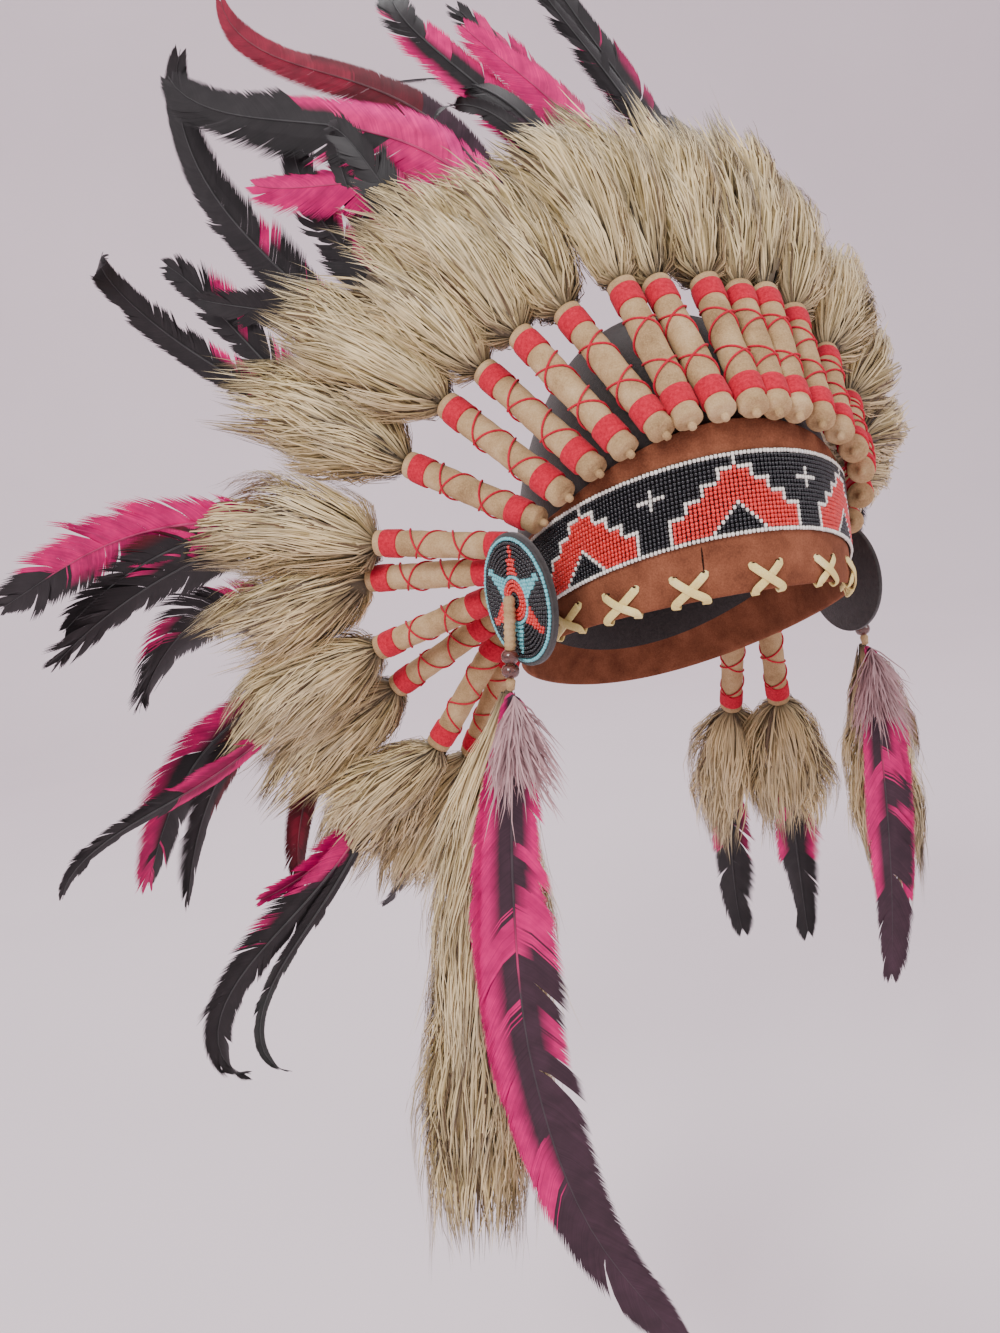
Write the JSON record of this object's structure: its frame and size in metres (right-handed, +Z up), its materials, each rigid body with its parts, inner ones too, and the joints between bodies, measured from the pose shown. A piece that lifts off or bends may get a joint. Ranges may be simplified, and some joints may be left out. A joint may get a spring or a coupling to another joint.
{
  "type": "feathered headdress",
  "caption": "Feathered headdress: leather browband with beaded strip, rosettes and lacing, felt skull cap, and a fan of leather tubes holding fur tufts and long dyed feathers.",
  "frame": {"origin": "middle of the head opening, level with the lower edge of the band at the brow", "axes": "+Z up, -Y the way the wearer faces, +X towards the wearer's left"},
  "size_m": [0.541, 0.3582, 0.7045],
  "materials": {
    "brown_leather": "warm brown suede, matt and mottled",
    "black_felt": "black felted wool, matt",
    "seed_beads": "opaque glass seed beads, glossy: black ground with red, white and turquoise figures",
    "pale_lace": "pale yellow buckskin lace, matt",
    "tan_leather": "tan suede roll bound with red thread",
    "fur": "long cream and khaki fur with dark tips",
    "dyed_feather": "feathers dyed bright pink to black, satin",
    "brown_beads": "dark brown glossy round beads on a tan thong"
  },
  "bodies": {
    "root": {"headband": "brown_leather", "skull_cap": "black_felt", "beaded_strip": "seed_beads", "brow_lacing": "pale_lace", "rosette_right": "seed_beads", "rosette_left": "seed_beads", "tube_01": "tan_leather", "tube_02": "tan_leather", "tube_03": "tan_leather", "tube_04": "tan_leather", "tube_05": "tan_leather", "tube_06": "tan_leather", "tube_07": "tan_leather", "tube_08": "tan_leather", "tube_09": "tan_leather", "tube_10": "tan_leather", "tube_11": "tan_leather", "tube_12": "tan_leather", "tube_13": "tan_leather", "tube_14": "tan_leather", "tube_15": "tan_leather", "tube_16": "tan_leather", "tube_17": "tan_leather", "tube_18": "tan_leather", "tube_19": "tan_leather", "tube_20": "tan_leather", "tube_21": "tan_leather", "tube_22": "tan_leather", "tube_23": "tan_leather", "tube_24": "tan_leather", "plume_01": "fur", "plume_02": "fur", "plume_03": "fur", "plume_04": "fur", "plume_05": "fur", "plume_06": "fur", "plume_07": "fur", "plume_08": "fur", "plume_09": "fur", "plume_10": "fur", "plume_11": "fur", "plume_12": "fur", "plume_13": "fur", "plume_14": "fur", "plume_15": "fur", "plume_16": "fur", "plume_17": "fur", "plume_18": "fur", "plume_19": "fur", "plume_20": "fur", "plume_21": "fur", "plume_22": "fur", "plume_23": "fur", "plume_24": "fur", "drop_beads_right": "brown_beads", "drop_fur_right": "fur", "drop_feathers_right": "dyed_feather", "drop_beads_left": "brown_beads", "drop_fur_left": "fur", "drop_feathers_left": "dyed_feather"}
  },
  "joints": []
}
